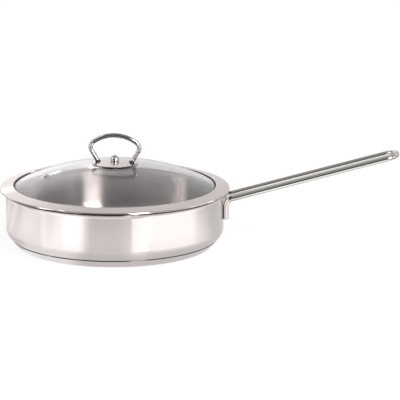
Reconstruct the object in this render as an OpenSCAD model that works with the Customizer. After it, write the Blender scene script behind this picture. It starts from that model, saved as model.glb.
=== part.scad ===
// Frying pan with a glass lid: a drawn steel pan with a sandwich base and a hairpin rod handle,
// and a domed glass lid in a wide steel band with a bent wire knob.
// Origin: centre of the face it stands on. +Z up, the handle points along +X.

/* [Pan] */
// Inside diameter of the cooking wall
pan_d = 239.8; // [200:0.1:300]
// Thickness of the steel sheet
wall_t = 0.9; // [0.6:0.1:1.5]
// Height of the rim above the table
pan_h = 61; // [50:0.5:90]
// Outside radius between wall and floor
corner_r = 13; // [9:0.5:18]
// Radius at which the pouring rim turns outward
flare_r = 4; // [3:0.25:5]
// How far the pouring rim turns out from upright, in degrees
flare_angle = 70; // [55:1:80]

/* [Base] */
// Thickness of the aluminium heat spreader
core_t = 6; // [4:0.25:7]
// Thickness of the steel cap under it
cap_t = 0.6; // [0.4:0.05:0.9]
// How far the shoulder of the cap climbs past the floor of the pan
cap_climb = 1.7; // [1.2:0.1:2.5]
// Outside radius of the shoulder, where the side of the cap turns in to the pan
cap_roll_r = 1.2; // [0.9:0.1:1.6]
// Direction that the shoulder faces where it meets the pan, in degrees above level
cap_roll_angle = 42; // [30:1:55]
// How far the side of the cap leans in, from shoulder to foot
cap_lean = 5.7; // [3:0.1:7]
// Outside radius at the foot of the cap
cap_foot_r = 1.5; // [1.2:0.1:2.5]

/* [Handle] */
// Diameter of the handle rod
rod_d = 6; // [4.5:0.1:7]
// Distance between the centre lines of the two rods
rod_spacing = 25; // [20:0.5:32]
// Centre-line radius where a rod turns down to its foot
rod_bend_r = 9; // [7:0.5:11]
// Rise of the handle above level, in degrees
handle_rise = 15; // [8:0.5:20]
// Distance from the axis of the pan to the tip of the handle
handle_reach = 315; // [280:1:360]
// Height where the line of the handle meets the line of its feet
handle_root_z = 51.6; // [46:0.1:54]
// Height of the lower ends of the feet
foot_z = 30; // [25:0.5:34]
// Length of the welds that hold the feet
weld_h = 11; // [6:0.5:12]
// Width of the welds
weld_w = 3.2; // [2:0.1:4]

/* [Lid] */
// How far the steel band reaches out past the wall of the pan
band_overhang = 6.5; // [5.5:0.1:9]
// Width of the band seen from above
band_w = 15.1; // [13.5:0.1:18]
// Outside radius of the rolled outer edge of the band
nose_r = 1.6; // [1.2:0.1:2]
// Outside radius of the hem under that edge
hem_r = 0.35; // [0.2:0.05:0.5]
// How far the hem stands above the part of the band that lies on the rim
hem_lift = 1.1; // [0.5:0.1:1.5]
// Slope of the sheet between the rim and the hem, in degrees
hem_slope = 60; // [40:5:75]
// Rise of the band from its outer edge to its inner bead
band_rise = 3.55; // [2.8:0.05:4.3]
// Thickness of the sheet of the band
band_t = 0.6; // [0.4:0.05:0.7]
// Diameter of the bead that presses on the glass
bead_d = 1.6; // [1.5:0.1:2]
// Gap between the step of the band and the wall of the pan
plug_gap = 1; // [0.6:0.1:1.8]
// Thickness of the glass
glass_t = 4; // [3.5:0.1:4.2]
// Slope of the glass where the bead presses on it, in degrees
glass_slope = 26.2; // [21:0.1:29]
// How far the glass reaches in under the band past the bead
glass_lap = 4.6; // [4:0.1:4.8]
// Thickness of the silicone under the edge of the glass
seat_pad_h = 0.7; // [0.5:0.1:3]
// Thickness of the silicone between the bead and the glass
seal_t = 0.4; // [0.2:0.05:0.8]
// Width of the silicone that shows inside the bead
seal_w = 1.2; // [0.5:0.1:2]

/* [Knob] */
// Diameter of the round plate under the knob
plate_d = 51; // [44:0.5:60]
// Thickness of the plate
plate_t = 0.8; // [0.6:0.1:1.2]
// Crown of the plate from its rim to its middle
plate_crown = 1.6; // [1.2:0.1:2.5]
// Diameter of the knob wire
wire_d = 5; // [4:0.1:6]
// Width of the wire loop, between centre lines at its widest
loop_w = 54; // [48:0.5:62]
// Height of the centre line of the loop above the top of the plate
loop_h = 29; // [26:0.2:36]
// Centre-line radius of the top of the loop
loop_top_r = 40.5; // [38:0.5:46]
// Centre-line radius of the upper corners of the loop
loop_corner_r = 8.1; // [7:0.1:9]
// Distance between the feet of the loop
loop_foot_gap = 37.4; // [32:0.2:40]
// Turn of the loop about the upright axis, from the line of the handle, in degrees
loop_turn = -7; // [-45:1:45]
// Diameter of the domed nut
nut_d = 10.4; // [9:0.1:12]
// Height of the nut
nut_h = 6.7; // [6.2:0.1:8]
// Radius of the rounded side of the nut
nut_side_r = 3; // [2.5:0.1:3.3]
// Height at which the nut is widest
nut_side_z = 2.4; // [2:0.1:2.6]
// Diameter of the screw that holds the knob
screw_d = 5; // [4:0.1:5]
// Diameter of the washers under the glass
washer_d = 18; // [14:0.5:22]

/* [Vent] */
// Outside diameter of the eyelet in the steam hole
vent_d = 8; // [7:0.1:10]
// Bore of the eyelet
vent_bore = 3.8; // [3:0.1:3.9]
// Distance of the vent from the middle of the lid
vent_r = 76.7; // [50:0.1:85]
// Direction of the vent, from the line of the handle, in degrees
vent_azimuth = 191; // [0:1:359]

/* [Hidden] */
$fn = 96;
fine_fn = 360;
arc_steps = 14;

// Overrun of every cut, and the gaps of fits
over = 1;
fit_gap = 0.05;
lid_gap = 0.3;
bore_gap = 0.1;

// Pan
wall_r = pan_d / 2;
wall_ro = wall_r + wall_t;
floor_z = cap_t + core_t;
corner_x = wall_ro - corner_r;
corner_z = floor_z + corner_r;
flare_mid_r = flare_r + wall_t / 2;
flare_x = wall_ro + flare_r;
flare_z = pan_h - wall_t / 2 - flare_mid_r * sin(flare_angle);
rim_x = flare_x - flare_mid_r * cos(flare_angle);
rim_z = pan_h - wall_t / 2;

// Base
cap_top_z = floor_z + cap_climb;
cap_seam = [corner_x + sqrt(pow(corner_r, 2) - pow(corner_z - cap_top_z, 2)), cap_top_z];
cap_roll = cap_seam - cap_roll_r * [cos(cap_roll_angle), sin(cap_roll_angle)];
cap_foot = [cap_roll[0] + cap_roll_r - cap_lean - cap_foot_r, cap_foot_r];
cap_run = cap_roll - cap_foot;
cap_side_angle = atan2(cap_run[1], cap_run[0]) - acos((cap_foot_r - cap_roll_r) / norm(cap_run));
cap_side = [cos(cap_side_angle), sin(cap_side_angle)];

// Handle
rod_r = rod_d / 2;
half_spacing = rod_spacing / 2;
foot_line_r = wall_ro + fit_gap + rod_r;
foot_x = sqrt(pow(foot_line_r, 2) - pow(half_spacing, 2));
bend_turn = 90 - handle_rise;
bend_z = handle_root_z - rod_bend_r * tan(bend_turn / 2);
rod_start = [foot_x + rod_bend_r * (1 - cos(bend_turn)), bend_z + rod_bend_r * sin(bend_turn)];
tip_x = handle_reach - rod_r - half_spacing * cos(handle_rise);
rod_run = (tip_x - rod_start[0]) / cos(handle_rise);
tip_z = rod_start[1] + rod_run * sin(handle_rise);
foot_chamfer = 0.5;
ball_swell = 0.01;
weld_inset = 1.5;
weld_bottom_z = foot_z + weld_inset;

// Lid band: the rolled nose at its outer edge and the bead at its inner edge
seat_z = pan_h + lid_gap;
band_r = wall_ro + band_overhang;
hem_z = seat_z + hem_lift;
hem = [band_r - hem_r, hem_z + hem_r];
nose = [band_r - nose_r, hem[1]];
hem_in = [rim_x + hem_lift / tan(hem_slope), hem_z];
sheet_shift = [-band_t * tan(hem_slope / 2), band_t];
bead_r = bead_d / 2;
bead = [band_r - band_w + bead_r, nose[1] + band_rise];
band_slope = atan2(nose[1] - bead[1], nose[0] - bead[0]) + asin((nose_r - bead_r) / norm(nose - bead));

// Glass dome
glass_r = bead[0] + glass_lap;
bead_clear = bead_r + fit_gap + seal_t;
dome_r = bead[0] / sin(glass_slope) - bead_clear;
dome_z = bead[1] - (dome_r + bead_clear) * cos(glass_slope);
dome_top_z = dome_z + dome_r;
under_r = dome_r - glass_t;
screw_hole_gap = 1.5;
screw_hole_r = screw_d / 2 + screw_hole_gap;
vent_wall = 0.7;
vent_hole_r = vent_bore / 2 + vent_wall + bore_gap;
vent_flange_t = 0.5;
vent_flange_r = (vent_d - vent_flange_t) / 2;
vent_tail_w = 1.3;
vent_tail_r = vent_hole_r + vent_tail_w;

// Step of the band, which centres the lid in the pan and is turned in under the glass
plug_r = wall_r - plug_gap;
plug_z = glass_under(glass_r) - seat_pad_h - band_t;
plug_chamfer = 0.8;
sheet_r = plug_r - band_t;
step_foot = [sheet_r - plug_chamfer + band_t / 2, plug_z + band_t];
step_side = [sheet_r, plug_z + plug_chamfer + band_t / 2];
tuck_r = bead[0] + bead_r / 2;
tuck_gap = 0.3;
tuck_z = glass_under(tuck_r) - tuck_gap;
tuck_slope = (step_foot[1] - tuck_z) / (step_foot[0] - tuck_r);
seat_pad_w = 1.6;

// Knob
pad_t = 0.7;
pad_r = 12;
plate_r = plate_d / 2;
plate_z = dome_top_z + pad_t + plate_t;
plate_ball_r = (pow(plate_r, 2) + pow(plate_crown, 2)) / (2 * plate_crown);
plate_ball_z = plate_z - plate_ball_r;
plate_rim_fn = 24;
wire_r = wire_d / 2;
half_loop = loop_w / 2;
half_foot_gap = loop_foot_gap / 2;
loop_top_z = plate_z + loop_h;
loop_arc_z = loop_top_z - loop_top_r;
corner_c = [half_loop - loop_corner_r,
    loop_arc_z + sqrt(pow(loop_top_r - loop_corner_r, 2) - pow(half_loop - loop_corner_r, 2))];
corner_a = atan2(corner_c[1] - loop_arc_z, corner_c[0]);
foot_c = [half_foot_gap, plate_ball_z + sqrt(pow(plate_ball_r, 2) - pow(half_foot_gap, 2))];
leg_span = norm(corner_c - foot_c);
leg_a = asin(loop_corner_r / leg_span) - atan2(corner_c[0] - foot_c[0], corner_c[1] - foot_c[1]);
leg_run = sqrt(pow(leg_span, 2) - pow(loop_corner_r, 2));
foot_swell_h = 1.4;
foot_swell_w = 0.8;
nut_r = nut_d / 2;
nut_grip = 4;
screw_r = screw_d / 2;
low_pad_t = 1;
washer_t = 1;
washer_r = washer_d / 2;
low_pad_z = glass_under(washer_r) - low_pad_t;
washer_z = low_pad_z - washer_t;
screw_top_z = plate_z + nut_grip - fit_gap;
head_r = 4.5;
head_h = 2.6;
head_z = washer_z - head_h;
head_chamfer = 0.9;
recess_w = 1.1;
recess_l = 4.6;
recess_h = 1.4;

// Height of the upper and the lower face of the glass at a distance from the axis
function glass_over(r) = dome_z + sqrt(pow(dome_r, 2) - pow(r, 2));
function glass_under(r) = dome_z + sqrt(pow(under_r, 2) - pow(r, 2));

// Height of the lower face of the sheet on top of the band
function skin_under(r) = bead[1] + (bead_r - band_t) / cos(band_slope) + (r - bead[0]) * tan(band_slope);

// Points along an arc, from one direction to another
function arc(centre, r, from, to) = [for (i = [0:arc_steps]) let (a = from + (to - from) * i / arc_steps)
    centre + r * [cos(a), sin(a)]];

// Part of a flat ring between two directions, up to a quarter turn
module ring_sector(r_in, r_out, from, to) {
    reach = 2 * r_out;
    intersection() {
        difference() {
            circle(r = r_out);
            circle(r = r_in);
        }
        polygon([[0, 0], for (a = [from, (from + to) / 2, to]) reach * [cos(a), sin(a)]]);
    }
}

// Solid turned about the upright axis from a flat outline
module turned() {
    rotate_extrude($fn = fine_fn / 2) children();
}

// Round bar along part of a circle that stands upright, between two directions
module bar_arc(bar_d, bend, from, to) {
    rotate([90, 0, 0]) rotate_extrude(angle = to - from, start = from) translate([bend, 0]) circle(d = bar_d);
}

// Straight round bar with a ball at both ends, which joins it to the bends that follow
module bar_straight(bar_d, length) {
    cylinder(h = length, d = bar_d);
    for (z = [0, length]) translate([0, 0, z]) sphere(d = bar_d + 2 * ball_swell);
}

// Everything inside the outer face of the pan, seen in section
module pan_outside() {
    translate([0, floor_z]) square([corner_x, pan_h]);
    translate([corner_x, corner_z]) circle(r = corner_r, $fn = fine_fn);
}

module pan_shell() {
    color("silver") turned() {
        translate([0, floor_z]) square([corner_x, wall_t]);
        translate([corner_x, corner_z]) ring_sector(corner_r - wall_t, corner_r, -90, 0);
        translate([wall_r, corner_z]) square([wall_t, flare_z - corner_z]);
        translate([flare_x, flare_z]) ring_sector(flare_r, flare_r + wall_t, 180 - flare_angle, 180);
        translate([rim_x, rim_z]) circle(d = wall_t);
    }
}

// Section of everything within the cap, or of what a sheet as thick as inset leaves inside it
module cap_outline(inset) {
    polygon([[0, inset], [cap_foot[0], inset], cap_foot + (cap_foot_r - inset) * cap_side,
        cap_roll + (cap_roll_r - inset) * cap_side, cap_roll, [cap_roll[0], cap_top_z], [0, cap_top_z]]);
    translate(cap_foot) circle(r = cap_foot_r - inset);
    translate(cap_roll) circle(r = cap_roll_r - inset);
}

module base_cap() {
    color("silver") turned() difference() {
        cap_outline(0);
        cap_outline(cap_t);
        pan_outside();
    }
}

module base_core() {
    color("gainsboro") turned() difference() {
        cap_outline(cap_t);
        pan_outside();
    }
}

// Weld metal that fills the wedge between a foot and the wall
module foot_weld(side) {
    difference() {
        rotate([0, 0, side * asin(half_spacing / foot_line_r)])
            translate([wall_r, -weld_w / 2, weld_bottom_z]) cube([foot_line_r - wall_r, weld_w, weld_h]);
        translate([0, 0, foot_z]) cylinder(h = 2 * weld_h, r = wall_ro, $fn = fine_fn);
    }
}

module handle_rod() {
    color("silver") {
        for (side = [-1, 1]) {
            translate([0, side * half_spacing, 0]) {
                translate([foot_x, 0, foot_z])
                    cylinder(h = foot_chamfer, r1 = rod_r - foot_chamfer, r2 = rod_r);
                translate([foot_x, 0, foot_z + foot_chamfer])
                    cylinder(h = bend_z - foot_z - foot_chamfer, d = rod_d);
                translate([foot_x, 0, bend_z]) sphere(d = rod_d + 2 * ball_swell);
                translate([foot_x + rod_bend_r, 0, bend_z])
                    bar_arc(rod_d, rod_bend_r, 180 - bend_turn, 180);
                translate([rod_start[0], 0, rod_start[1]]) rotate([0, bend_turn, 0])
                    bar_straight(rod_d, rod_run);
            }
            foot_weld(side);
        }
        translate([tip_x, 0, tip_z]) rotate([0, -handle_rise, 0])
            rotate_extrude(angle = 180, start = -90) translate([half_spacing, 0]) circle(d = rod_d);
    }
}

// Places what follows on the upper face of the glass, square to it
module on_dome(r, azimuth) {
    translate([0, 0, dome_z]) rotate([0, asin(r / dome_r), azimuth]) translate([0, 0, dome_r]) children();
}

module glass_section() {
    intersection() {
        translate([0, dome_z]) difference() {
            circle(r = dome_r, $fn = fine_fn);
            circle(r = under_r, $fn = fine_fn);
        }
        square([glass_r, dome_top_z + over]);
    }
}

module lid_glass() {
    color("lightcyan", 0.4) difference() {
        turned() glass_section();
        translate([0, 0, dome_top_z - glass_t - over]) cylinder(h = glass_t + 2 * over, r = screw_hole_r);
        on_dome(vent_r, vent_azimuth) translate([0, 0, -glass_t - over])
            cylinder(h = glass_t + 2 * over, r = vent_hole_r);
    }
}

// Section of the band: one sheet that runs from the bead over the rolled nose, round the hem, along the rim
// of the pan, down the step and in under the glass
module band_section() {
    nose_top_a = 90 + band_slope;
    nose_in_a = asin((band_t - hem_r) / (nose_r - band_t));
    bead_end_a = 360 + band_slope + asin((bead_r - band_t) / bead_r);
    polygon(concat(
        arc(bead, bead_r, nose_top_a, bead_end_a),
        arc(nose, nose_r - band_t, nose_top_a, nose_in_a),
        [hem_in + sheet_shift, [rim_x, seat_z] + sheet_shift, [sheet_r, seat_z + band_t], step_side,
            step_foot, [tuck_r, tuck_z],
            [tuck_r, tuck_z - band_t], [plug_r - plug_chamfer, plug_z],
            [plug_r, plug_z + plug_chamfer], [plug_r, seat_z], [rim_x, seat_z], hem_in],
        arc(hem, hem_r, -90, 0),
        arc(nose, nose_r, 0, nose_top_a)));
}

module lid_band() {
    color("silver") turned() band_section();
}

// Silicone that fills the band round the edge of the glass, and lines the glass under the bead
module glass_seat() {
    seat_in = bead[0] + bead_r + fit_gap;
    seat_out = glass_r + seat_pad_w;
    seal_in = bead[0] - bead_r - seal_w;
    seal_out = seat_in + seal_t;
    color("black") turned() difference() {
        union() {
            polygon([[seat_in, skin_under(seat_in)], [seat_in, glass_under(seat_in)],
                [seat_in, tuck_z + (seat_in - tuck_r) * tuck_slope], step_foot, step_side,
                [sheet_r, seat_z + band_t], [seat_out, seat_z + band_t], [seat_out, skin_under(seat_out)]]);
            translate([0, dome_z]) intersection() {
                difference() {
                    circle(r = dome_r + seal_t, $fn = fine_fn);
                    circle(r = dome_r, $fn = fine_fn);
                }
                translate([seal_in, 0]) square([seal_out - seal_in, dome_r]);
            }
        }
        glass_section();
    }
}

module vent_eyelet() {
    bore_r = vent_bore / 2;
    tube_r = bore_r + vent_wall;
    color("silver") on_dome(vent_r, vent_azimuth) rotate_extrude() {
        translate([bore_r, -glass_t - vent_flange_t]) square([tube_r - bore_r, glass_t + 2 * vent_flange_t]);
        translate([bore_r, fit_gap]) square([vent_flange_r - bore_r, vent_flange_t]);
        translate([vent_flange_r, fit_gap + vent_flange_t / 2]) circle(d = vent_flange_t);
        translate([bore_r, -glass_t - fit_gap - vent_flange_t]) square([vent_tail_r - bore_r, vent_flange_t]);
    }
}

module plate_section(inset) {
    intersection() {
        translate([0, plate_ball_z]) circle(r = plate_ball_r - inset, $fn = fine_fn);
        translate([0, dome_z]) square([plate_r - plate_t / 2, plate_z - dome_z]);
    }
}

module knob_plate() {
    rim_r = plate_r - plate_t / 2;
    rim_up_z = plate_ball_z + sqrt(pow(plate_ball_r - plate_t / 2, 2) - pow(rim_r, 2));
    color("silver") difference() {
        turned() {
            difference() {
                plate_section(0);
                plate_section(plate_t);
            }
            translate([rim_r, rim_up_z]) circle(d = plate_t, $fn = plate_rim_fn);
        }
        translate([0, 0, dome_top_z]) cylinder(h = plate_t + pad_t + over, r = screw_r + bore_gap);
    }
}

module knob_loop() {
    color("silver") rotate([0, 0, loop_turn]) difference() {
        union() {
            for (flip = [0, 1]) mirror([flip, 0, 0]) {
                translate([foot_c[0], 0, foot_c[1]]) {
                    translate([0, 0, -foot_swell_w])
                        cylinder(h = foot_swell_h + foot_swell_w, r1 = wire_r + foot_swell_w, r2 = wire_r);
                    rotate([0, leg_a, 0]) bar_straight(wire_d, leg_run);
                }
                translate([corner_c[0], 0, corner_c[1]]) {
                    bar_arc(wire_d, loop_corner_r, -leg_a, corner_a);
                    translate(loop_corner_r * [cos(corner_a), 0, sin(corner_a)])
                        sphere(d = wire_d + 2 * ball_swell);
                }
            }
            translate([0, 0, loop_arc_z]) bar_arc(wire_d, loop_top_r, corner_a, 180 - corner_a);
        }
        translate([0, 0, plate_ball_z]) sphere(r = plate_ball_r, $fn = fine_fn);
    }
}

// Section that rounds the side of the nut in to its foot, and leaves its dome free
module nut_side() {
    side_in = nut_r - nut_side_r;
    square([side_in, nut_side_z]);
    translate([0, nut_side_z]) square([nut_r, nut_h]);
    intersection() {
        translate([side_in, nut_side_z]) circle(r = nut_side_r);
        square([nut_r, nut_h]);
    }
}

module cap_nut() {
    color("silver") translate([0, 0, plate_z]) difference() {
        intersection() {
            // The ball lies on its side, so that the dome has no pole
            translate([0, 0, nut_h - nut_r]) rotate([90, 0, 0]) sphere(r = nut_r);
            turned() nut_side();
        }
        translate([0, 0, -over]) cylinder(h = nut_grip + over, r = screw_r + fit_gap);
    }
}

module knob_screw() {
    color("silver") difference() {
        union() {
            translate([0, 0, washer_z]) cylinder(h = screw_top_z - washer_z, r = screw_r);
            translate([0, 0, head_z + head_chamfer]) cylinder(h = head_h - head_chamfer, r = head_r);
            translate([0, 0, head_z]) cylinder(h = head_chamfer, r1 = head_r - head_chamfer, r2 = head_r);
        }
        for (turn = [0, 90]) rotate([0, 0, turn]) translate([-recess_l / 2, -recess_w / 2, head_z - over])
            cube([recess_l, recess_w, recess_h + over]);
    }
}

module upper_pad() {
    color("dimgray") turned() difference() {
        translate([screw_hole_r, dome_z]) square([pad_r - screw_hole_r, plate_z - dome_z]);
        translate([0, dome_z]) circle(r = dome_r, $fn = fine_fn);
        difference() {
            translate([0, dome_z]) square([plate_r, plate_z - dome_z + over]);
            translate([0, plate_ball_z]) circle(r = plate_ball_r - plate_t, $fn = fine_fn);
        }
    }
}

module lower_pad() {
    color("dimgray") turned() {
        difference() {
            translate([screw_r + bore_gap, low_pad_z])
                square([washer_r - screw_r - bore_gap, dome_top_z - low_pad_z]);
            difference() {
                square([plate_r, dome_top_z + over]);
                translate([0, dome_z]) circle(r = under_r, $fn = fine_fn);
            }
        }
        translate([screw_r + bore_gap, low_pad_z])
            square([screw_hole_r - screw_r - 2 * bore_gap, dome_top_z - low_pad_z]);
    }
}

module steel_washer() {
    color("silver") translate([0, 0, washer_z]) difference() {
        cylinder(h = washer_t, r = washer_r);
        translate([0, 0, -over]) cylinder(h = washer_t + 2 * over, r = screw_r + bore_gap);
    }
}

pan_shell();
base_core();
base_cap();
handle_rod();
lid_glass();
lid_band();
glass_seat();
vent_eyelet();
knob_plate();
knob_loop();
cap_nut();
knob_screw();
upper_pad();
lower_pad();
steel_washer();
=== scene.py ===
# Looks of the frying pan with its glass lid: steel, glass and silicone, on a white table in a soft studio.
# Lengths are in metres and angles in degrees, unless a name says otherwise.
import math
from collections import namedtuple

import bpy
from mathutils import Matrix, Vector


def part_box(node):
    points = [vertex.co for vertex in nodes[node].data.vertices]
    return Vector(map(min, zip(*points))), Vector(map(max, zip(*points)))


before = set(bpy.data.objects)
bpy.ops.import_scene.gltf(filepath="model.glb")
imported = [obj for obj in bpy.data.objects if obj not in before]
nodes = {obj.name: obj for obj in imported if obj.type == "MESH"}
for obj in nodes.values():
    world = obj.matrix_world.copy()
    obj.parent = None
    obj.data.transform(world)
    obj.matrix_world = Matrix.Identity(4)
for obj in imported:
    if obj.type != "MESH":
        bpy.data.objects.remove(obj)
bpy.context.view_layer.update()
scene = bpy.context.scene
scene.view_settings.view_transform = "Standard"

# The photograph: a long lens, a little above the rim, with the handle turned slightly away from it
PHOTO_SIDE_PX = 400
FOCAL_PX = 2317.9
SENSOR_MM = 36.0
CAMERA_DISTANCE = 2.577
CAMERA_TARGET = Vector((0.0945, 0.0, 0.0489))
CAMERA_ELEVATION = 13.48
CAMERA_ROLL = 0.33
HANDLE_TURN = 0.6


def make_camera():
    """Looks along +Y and down, turned about the axis of the pan by the turn of the handle."""
    data = bpy.data.cameras.new("camera")
    data.sensor_width = SENSOR_MM
    data.lens = FOCAL_PX / PHOTO_SIDE_PX * SENSOR_MM
    camera = bpy.data.objects.new("camera", data)
    scene.collection.objects.link(camera)
    elevation = math.radians(CAMERA_ELEVATION)
    forward = Vector((0.0, math.cos(elevation), -math.sin(elevation)))
    turn = Matrix.Rotation(math.radians(-HANDLE_TURN), 3, "Z")
    roll = Matrix.Rotation(math.radians(CAMERA_ROLL), 3, "Z")
    aim = (turn @ forward).to_track_quat("-Z", "Y").to_matrix() @ roll
    place = turn @ (CAMERA_TARGET - CAMERA_DISTANCE * forward)
    camera.matrix_world = Matrix.Translation(place) @ aim.to_4x4()
    scene.camera = camera


HALF_CIRCLE = 180.0

Place = namedtuple("Place", "x y z radius")


class ShaderTree:
    """Adds shader nodes to a tree and links them. A value may be a number or another node's output."""

    def __init__(self, tree):
        self.tree = tree
        tree.nodes.clear()

    def add(self, kind, inputs=None, **settings):
        """Gives the new node itself, where most other methods give an output."""
        node = self.tree.nodes.new("ShaderNode" + kind)
        for name, value in settings.items():
            setattr(node, name, value)
        for name, value in (inputs or {}).items():
            socket = node.inputs[name]
            if isinstance(value, bpy.types.NodeSocket):
                self.tree.links.new(value, socket)
            else:
                socket.default_value = value
        return node

    def math(self, operation, *values, label=""):
        """The result of one step of arithmetic."""
        return self.add("Math", dict(enumerate(values)), operation=operation, label=label).outputs[0]

    def length(self, along, across):
        """The length of a line, from how far it goes in two directions at right angles."""
        square = self.math("MULTIPLY_ADD", along, along, self.math("MULTIPLY", across, across))
        return self.math("SQRT", square)

    def mix(self, share, at_zero, at_one, label=""):
        """at_zero where share is 0, and at_one where it is 1."""
        change = self.math("SUBTRACT", at_one, at_zero)
        return self.math("MULTIPLY_ADD", share, change, at_zero, label=label)

    def smooth(self, value, low, high, to_low=0.0, to_high=1.0):
        """to_low where value is at low, to_high where it is at high, and a smooth change between."""
        inputs = {"Value": value, "From Min": low, "From Max": high, "To Min": to_low, "To Max": to_high}
        return self.add("MapRange", inputs, interpolation_type="SMOOTHSTEP").outputs["Result"]

    def between(self, value, low, high, soft):
        """1 between low and high, 0 outside, with edges that are as wide as soft."""
        off = self.math("ABSOLUTE", self.math("SUBTRACT", value, (low + high) / 2))
        half = (high - low) / 2
        return self.smooth(off, half + soft / 2, half - soft / 2)

    def around(self, azimuth, start, end, soft):
        """The same for an angle, which starts again after a full turn."""
        centre = (start + end) / 2
        wrapped = self.math("WRAP", azimuth, centre + HALF_CIRCLE, centre - HALF_CIRCLE)
        return self.between(wrapped, start, end, soft)

    def azimuth(self, x, y):
        """The direction of a point: 0 towards the camera, and growing towards the handle."""
        towards_camera = self.math("MULTIPLY", y, -1.0)
        return self.math("DEGREES", self.math("ARCTAN2", x, towards_camera))

    def place(self):
        """Where a point lies while its piece is at rest, with its distance from the axis of the pan."""
        xyz = self.add("SeparateXYZ", {"Vector": self.add("TexCoord").outputs["Object"]}).outputs
        return Place(xyz["X"], xyz["Y"], xyz["Z"], self.length(xyz["X"], xyz["Y"]))

    def surface(self, shader):
        """Makes a shader the one that shows."""
        self.add("OutputMaterial", {"Surface": shader.outputs[0]})


def new_material(name):
    """An empty material, and the tree that its nodes go into."""
    material = bpy.data.materials.new(name)
    material.use_nodes = True
    return material, ShaderTree(material.node_tree)


WHITE = (1.0, 1.0, 1.0, 1.0)

# The studio that metal and glass mirror. A panel reaches from start to end in azimuth and from low to high in
# elevation. Its light is 1 where it is as bright as white paper, and soft is how wide its edges are. A later
# panel covers those before it. The walls start below the edge of the table, and the ceiling has no upper edge
Panel = namedtuple("Panel", "name start end low high light soft")
PANELS = [
    Panel("ceiling", -180.0, 180.0, 52.0, 100.0, 0.42, 12.0),
    Panel("high behind", 130.0, 230.0, 30.0, 62.0, 0.66, 14.0),
    Panel("wall behind, right", 140.0, 180.0, -20.0, 50.0, 0.78, 12.0),
    Panel("wall behind, left", 180.0, 236.0, -20.0, 34.0, 1.08, 16.0),
    Panel("left wall", -124.0, -30.0, -20.0, 6.0, 0.8, 8.0),
    Panel("left box", -54.0, -28.0, -20.0, 4.0, 2.6, 6.0),
    Panel("right wall", 84.0, 130.0, -20.0, 10.0, 0.7, 8.0),
    Panel("right box", 30.0, 94.0, -20.0, 12.0, 2.2, 8.0),
    Panel("right window", 19.0, 36.0, 10.0, 50.0, 15.0, 2.0),
    Panel("dim room, left", -124.0, -26.0, 4.0, 57.0, 0.42, 8.0),
    Panel("dim above the camera", -34.0, 16.0, 30.0, 57.0, 0.4, 8.0),
    Panel("dark room in front", -32.0, 16.0, -10.0, 32.0, 0.01, 8.0),
    Panel("left high strip", -83.0, -77.0, 12.0, 60.0, 10.0, 3.0),
    Panel("small lamp behind", 190.0, 193.2, 14.0, 16.4, 3.5, 0.8),
    Panel("right high strip", 114.0, 120.0, 12.0, 60.0, 5.0, 3.0),
]
ROOM_LIGHT = 0.5
ROOM_TINT = (1.0, 0.97, 0.965, 1.0)


def make_world():
    """The studio's light, but plain white where the camera sees past the object or straight through glass."""
    world = bpy.data.worlds.new("studio")
    scene.world = world
    world.use_nodes = True
    tree = ShaderTree(world.node_tree)
    direction = tree.add("SeparateXYZ", {"Vector": tree.add("TexCoord").outputs["Generated"]}).outputs
    azimuth = tree.azimuth(direction["X"], direction["Y"])
    elevation = tree.math("DEGREES", tree.math("ARCSINE", direction["Z"]))
    light = ROOM_LIGHT
    for panel in PANELS:
        across = tree.around(azimuth, panel.start, panel.end, panel.soft)
        upwards = tree.between(elevation, panel.low, panel.high, panel.soft)
        share = tree.math("MULTIPLY", across, upwards)
        light = tree.mix(share, light, panel.light, label=panel.name)
    room = tree.add("Background", {"Color": ROOM_TINT, "Strength": light})
    white = tree.add("Background", {"Color": WHITE, "Strength": 1.0})
    rays = tree.add("LightPath").outputs
    unmirrored = tree.math("LESS_THAN", rays["Glossy Depth"], 1.0)
    through_glass = tree.math("MULTIPLY", rays["Is Transmission Ray"], unmirrored)
    seen = tree.math("MAXIMUM", rays["Is Camera Ray"], through_glass)
    shown = tree.add("MixShader", {0: seen, 1: room.outputs[0], 2: white.outputs[0]})
    tree.add("OutputWorld", {"Surface": shown.outputs[0]})


FLOOR_RADIUS = 0.65
FLOOR_CENTRE = Vector((0.09, 0.05))
FLOOR_SIDES = 128
FLOOR_GLOW = 0.9
FLOOR_FAINT = (0.11, 0.11, 0.11, 1.0)
FLOOR_MATTE = (0.8, 0.8, 0.8, 1.0)

# How bright the table is where metal mirrors it: painted light and shade, darker near the pan as a painted
# shadow of the pan, with painted pools of light and shade by sector. It has one light up to NEAR_RADIUS and
# another from FAR_RADIUS, which goes over into the last between FADE_RADIUS and EDGE_RADIUS. A sector changes
# a light from start to end in azimuth, with edges that are as wide as soft, and covers those before it
Sector = namedtuple("Sector", "name start end light soft")
NEAR_LIGHT = 0.66
NEAR_SECTORS = [
    Sector("left", -66.0, -22.0, 0.95, 14.0),
]
FAR_LIGHT = 1.15
FAR_SECTORS = [
    Sector("behind", 80.0, 236.0, 0.7, 20.0),
    Sector("left", -124.0, -22.0, 1.3, 8.0),
    Sector("left, under the box", -51.0, -21.0, 1.8, 8.0),
    Sector("behind, on the right", 154.0, 186.0, 0.12, 20.0),
    Sector("right", 20.0, 80.0, 1.6, 40.0),
    Sector("right, under the window", 13.0, 25.0, 0.2, 8.0),
    Sector("behind, on the left", 206.0, 222.0, 0.55, 12.0),
    Sector("far left", -126.0, -92.0, 0.9, 14.0),
    Sector("stripe on the far left", -107.0, -101.0, 1.35, 4.0),
    Sector("left, further round", -88.0, -70.0, 1.45, 10.0),
]
EDGE_LIGHT = 0.3
NEAR_RADIUS = 0.14
FAR_RADIUS = 0.20
FADE_RADIUS = 0.38
EDGE_RADIUS = 0.43


def all_round(tree, azimuth, light, sectors):
    """One light all round, changed by each sector in turn."""
    for sector in sectors:
        share = tree.around(azimuth, sector.start, sector.end, sector.soft)
        light = tree.mix(share, light, sector.light, label=sector.name)
    return light


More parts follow.
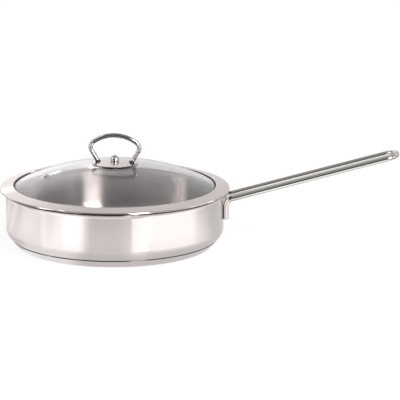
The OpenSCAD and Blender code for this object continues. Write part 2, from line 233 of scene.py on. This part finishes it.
def painted_table_light(tree):
    """Painted light and shade: how bright each place on the table is in metal."""
    place = tree.place()
    azimuth = tree.azimuth(place.x, place.y)
    near = all_round(tree, azimuth, NEAR_LIGHT, NEAR_SECTORS)
    far = all_round(tree, azimuth, FAR_LIGHT, FAR_SECTORS)
    light = tree.mix(tree.smooth(place.radius, NEAR_RADIUS, FAR_RADIUS), near, far)
    return tree.mix(tree.smooth(place.radius, FADE_RADIUS, EDGE_RADIUS), light, EDGE_LIGHT)


def table_white():
    """Glowing white with a faint shadow. Metal sees the table's painted light and shade in it, and diffuse
    light sees it as matte.
    """
    material, tree = new_material("floor_white")
    rays = tree.add("LightPath").outputs
    strength = tree.mix(rays["Is Glossy Ray"], FLOOR_GLOW, painted_table_light(tree))
    glow = tree.add("Emission", {"Strength": strength})
    faint = tree.add("BsdfDiffuse", {"Color": FLOOR_FAINT})
    bright = tree.add("AddShader", {0: glow.outputs[0], 1: faint.outputs[0]})
    matte = tree.add("BsdfDiffuse", {"Color": FLOOR_MATTE})
    mirrored = tree.math("MAXIMUM", rays["Is Glossy Ray"], rays["Is Transmission Ray"])
    seen = tree.math("MAXIMUM", rays["Is Camera Ray"], mirrored)
    tree.surface(tree.add("MixShader", {0: seen, 1: matte.outputs[0], 2: bright.outputs[0]}))
    return material


def make_floor():
    """The round top of the table, under the whole object."""
    outline = []
    for step in range(FLOOR_SIDES):
        turn = math.tau * step / FLOOR_SIDES
        edge = FLOOR_CENTRE + FLOOR_RADIUS * Vector((math.cos(turn), math.sin(turn)))
        outline.append((edge.x, edge.y, 0.0))
    mesh = bpy.data.meshes.new("floor")
    mesh.from_pydata(outline, [], [range(FLOOR_SIDES)])
    mesh.materials.append(table_white())
    floor = bpy.data.objects.new("floor", mesh)
    scene.collection.objects.link(floor)


# Sizes of the CAD nodes that the finishes follow
Round = namedtuple("Round", "low high radius")


def measure(node):
    """The lowest and the highest point of a round node, and its radius."""
    low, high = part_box(node)
    return Round(low.z, high.z, high.x)


def widest(node, below):
    """The largest distance from the axis of the pan among the points of a node that lie below a height."""
    points = [vertex.co for vertex in nodes[node].data.vertices]
    return max(math.hypot(point.x, point.y) for point in points if point.z < below)


pan = measure("pan_shell")
cap = measure("base_cap")
band = measure("lid_band")
plate = measure("knob_plate")
loop_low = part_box("knob_loop")[0].z
wall_radius = widest("pan_shell", below=(pan.low + pan.high) / 2)

# The rounded corner under the pan's wall, by whose centre the two faces of the sheet are told apart, and what
# is left of the light on the inner one, which is darkened as painted shade
CORNER_RADIUS = 0.013
SHEET = 0.0009
FACE_MARGIN = 0.0002
INNER_SHADE = 0.70


def inside_pan(tree, place):
    """1 on the inner face of the pan and 0 on its outer face."""
    outwards = tree.math("MAXIMUM", tree.math("SUBTRACT", place.radius, wall_radius - CORNER_RADIUS), 0.0)
    downwards = tree.math("MINIMUM", tree.math("SUBTRACT", place.z, pan.low + CORNER_RADIUS), 0.0)
    inner_face = CORNER_RADIUS - SHEET + FACE_MARGIN
    outer_face = CORNER_RADIUS - FACE_MARGIN
    return tree.smooth(tree.length(outwards, downwards), inner_face, outer_face, 1.0, 0.0)


# Creases between pieces, in which the metal's colour is darkened as painted shade. Each is a ring round the
# axis of the pan, and its light is what is left in its middle, which takes a share of its width
CreaseShade = namedtuple("CreaseShade", "height radius width light")
MIDDLE_SHARE = 0.6
SLIT_ABOVE_RIM = 0.0006
SLIT_INSIDE_NOSE = 0.0007
SLIT_OUTSIDE_RIM = 0.0008
SEAM_BELOW_LIP = 0.0003
SEAM_INSIDE_LIP = 0.0005
SHADE_BELOW_PLATE = 0.0004
# Painted shade: in the slit under the band's nose, on the rim under the band, at the seam, under the plate's
# edge
NOSE_SLIT_SHADE = CreaseShade(pan.high + SLIT_ABOVE_RIM, band.radius - SLIT_INSIDE_NOSE, width=0.0019, light=0.04)
RIM_SLIT_SHADE = CreaseShade(pan.high + SLIT_ABOVE_RIM, pan.radius + SLIT_OUTSIDE_RIM, width=0.0020, light=0.04)
SEAM_SHADE = CreaseShade(cap.high - SEAM_BELOW_LIP, cap.radius - SEAM_INSIDE_LIP, width=0.0008, light=0.12)
PLATE_EDGE_SHADE = CreaseShade(plate.low - SHADE_BELOW_PLATE, plate.radius, width=0.0014, light=0.05)


def painted_crease_shade(tree, place, crease):
    """Painted shade near a crease: little light is left in its middle, and all of it outside its width."""
    up = tree.math("SUBTRACT", place.z, crease.height)
    out = tree.math("SUBTRACT", place.radius, crease.radius)
    return tree.smooth(tree.length(up, out), MIDDLE_SHARE * crease.width, crease.width, crease.light, 1.0)


# Welds, at which metal is dark, partly as a dark welded joint and partly as painted contact shade: how far
# the rod's reaches from the wall, between which heights above the lowest point of the loop its own ends, and
# what is left of the light
ROD_WELD = 0.0016
ROD_WELD_LIGHT = 0.04
LOOP_WELD_LOW = 0.0017
LOOP_WELD_HIGH = 0.0029
LOOP_WELD_LIGHT = 0.08


def rod_weld_and_shade(tree, place):
    """The rod is dark where it is welded to the wall of the pan: a dark joint, and painted contact shade."""
    return tree.smooth(place.radius, wall_radius, wall_radius + ROD_WELD, ROD_WELD_LIGHT, 1.0)


def loop_weld_and_shade(tree, place):
    """The loop is dark where its feet are welded to the plate: a dark joint, and painted contact shade."""
    return tree.smooth(place.z, loop_low + LOOP_WELD_LOW, loop_low + LOOP_WELD_HIGH, LOOP_WELD_LIGHT, 1.0)


# Lines in the steel: how many fine and broad ones there are to a metre, how many changes along them, how much
# the broad ones count, the values of the noise between which they change, and how deep they are
FINE_LINES = 5000.0
BROAD_LINES = 500.0
ALONG_LINES = 6.0
BROAD_SHARE = 0.3
NOISE_LOW = 0.3
NOISE_HIGH = 0.7
NOISE_DETAIL = 2.0
LINE_DEPTH = 0.00001
QUARTER_TURN = 0.25


def turned_lines(tree, place, to_a_metre):
    """Noise drawn out into lines that run around the axis of the pan."""
    along_x = tree.math("MULTIPLY", place.x, ALONG_LINES)
    along_y = tree.math("MULTIPLY", place.y, ALONG_LINES)
    across = tree.math("MULTIPLY", tree.math("ADD", place.radius, place.z), to_a_metre)
    vector = tree.add("CombineXYZ", {"X": along_x, "Y": along_y, "Z": across}).outputs[0]
    return tree.add("TexNoise", {"Vector": vector, "Scale": 1.0, "Detail": NOISE_DETAIL}).outputs[0]


def steel(name, color, roughness, anisotropy, lines, painted_creases=(), weld_and_shade=None, rough_inside=None):
    """Turned metal. lines is the share by which its lines change its colour and roughness. It has painted
    shade in each crease, and where it is welded a dark joint with painted contact shade. With rough_inside,
    the inner face of the pan has that roughness and painted shade."""
    material, tree = new_material(name)
    place = tree.place()
    fine = turned_lines(tree, place, FINE_LINES)
    broad = turned_lines(tree, place, BROAD_LINES)
    pattern = tree.mix(BROAD_SHARE, fine, broad)
    change = tree.smooth(pattern, NOISE_LOW, NOISE_HIGH, 1.0 - lines, 1.0 + lines)
    shade = change
    for crease in painted_creases:
        shade = tree.math("MULTIPLY", shade, painted_crease_shade(tree, place, crease))
    if weld_and_shade:
        shade = tree.math("MULTIPLY", shade, weld_and_shade(tree, place))
    # The inner face of the pan: rougher, and darker by painted shade
    if rough_inside:
        inside = inside_pan(tree, place)
        shade = tree.math("MULTIPLY", shade, tree.mix(inside, 1.0, INNER_SHADE))
        roughness = tree.mix(inside, roughness, rough_inside)
    tint = tree.add("VectorMath", {0: color, "Scale": shade}, operation="SCALE")
    bump = tree.add("Bump", {"Height": pattern, "Strength": lines, "Distance": LINE_DEPTH})
    around_axis = tree.add("Tangent", direction_type="RADIAL", axis="Z")
    tree.surface(tree.add("BsdfPrincipled", {
        "Base Color": tint.outputs[0],
        "Metallic": 1.0,
        "Roughness": tree.math("MULTIPLY", roughness, change),
        "Anisotropic": anisotropy,
        "Anisotropic Rotation": QUARTER_TURN,
        "Tangent": around_axis.outputs[0],
        "Normal": bump.outputs[0],
    }))
    return material


PAN_STEEL = (0.70, 0.65, 0.64)
WIRE_STEEL = (0.55, 0.54, 0.525)
# Wire steel darkened as painted shade, for the loop
SHADED_LOOP_STEEL = (0.46, 0.45, 0.435)
# Steel darkened as painted shade, for the ring round the steam hole
SHADED_VENT_STEEL = (0.26, 0.255, 0.25)
ALUMINIUM = (0.80, 0.80, 0.79)
GLASS_IOR = 1.5
BLACK = (0.02, 0.02, 0.02, 1.0)
SILICONE_ROUGHNESS = 0.5


def pan_steel():
    """Brushed round the wall, which draws its highlights out upwards and downwards, and duller inside. It has
    painted shade in the slit under the band, along the seam and on its inner face.
    """
    return steel("pan_steel", PAN_STEEL, roughness=0.22, anisotropy=1.0, lines=0.018,
                 painted_creases=[RIM_SLIT_SHADE, SEAM_SHADE], rough_inside=0.28)


def core_aluminium():
    """Bare metal inside the base."""
    return steel("core_aluminium", ALUMINIUM, roughness=0.35, anisotropy=0.5, lines=0.02)


def cap_steel():
    """Turned under the base, with painted shade along the seam above it."""
    return steel("cap_steel", PAN_STEEL, roughness=0.12, anisotropy=0.5, lines=0.012, painted_creases=[SEAM_SHADE])


def rod_steel():
    """Drawn rod with a satin skin, dark where it is welded: a dark joint, and painted contact shade."""
    return steel("rod_steel", WIRE_STEEL, roughness=0.2, anisotropy=0.0, lines=0.04, weld_and_shade=rod_weld_and_shade)


def band_steel():
    """Polished, with painted shade in the slit between band and pan."""
    return steel("band_steel", PAN_STEEL, roughness=0.10, anisotropy=0.0, lines=0.03,
                 painted_creases=[NOSE_SLIT_SHADE, RIM_SLIT_SHADE])


def plate_steel():
    """Pressed plate, with painted shade under its edge."""
    return steel("plate_steel", PAN_STEEL, roughness=0.16, anisotropy=0.0, lines=0.06, painted_creases=[PLATE_EDGE_SHADE])


def loop_steel():
    """Wire darkened by painted shade, with the smoothest polish on the object. Its welded feet have a dark
    joint and painted contact shade.
    """
    return steel("loop_steel", SHADED_LOOP_STEEL, roughness=0.05, anisotropy=0.0, lines=0.006, weld_and_shade=loop_weld_and_shade)


def nut_steel():
    """Polished, a little less than the loop."""
    return steel("nut_steel", WIRE_STEEL, roughness=0.08, anisotropy=0.0, lines=0.006)


def vent_steel():
    """Steel darkened as painted shade, as dark as the ring round the steam hole is in the photograph."""
    return steel("vent_steel", SHADED_VENT_STEEL, roughness=0.12, anisotropy=0.0, lines=0.02)


def screw_steel():
    """Plain screw and washer, which show only through the glass."""
    return steel("screw_steel", WIRE_STEEL, roughness=0.24, anisotropy=0.0, lines=0.02)


def clear_glass():
    """Tempered glass, smooth on both faces."""
    material, tree = new_material("clear_glass")
    tree.surface(tree.add("BsdfPrincipled", {
        "Base Color": WHITE,
        "Transmission Weight": 1.0,
        "Roughness": 0.0,
        "IOR": GLASS_IOR,
    }))
    return material


def silicone():
    """Black and dull."""
    material, tree = new_material("silicone")
    tree.surface(tree.add("BsdfPrincipled", {"Base Color": BLACK, "Roughness": SILICONE_ROUGHNESS}))
    return material


def dress(material, *names):
    """Gives CAD nodes a material in place of their plain one."""
    for name in names:
        for slot in nodes[name].material_slots:
            slot.material = material


make_camera()
make_world()
make_floor()
dress(pan_steel(), "pan_shell")
dress(core_aluminium(), "base_core")
dress(cap_steel(), "base_cap")
dress(rod_steel(), "handle_rod")
dress(band_steel(), "lid_band")
dress(plate_steel(), "knob_plate")
dress(loop_steel(), "knob_loop")
dress(nut_steel(), "cap_nut")
dress(vent_steel(), "vent_eyelet")
dress(screw_steel(), "knob_screw", "steel_washer")
dress(clear_glass(), "lid_glass")
dress(silicone(), "glass_seat", "upper_pad", "lower_pad")
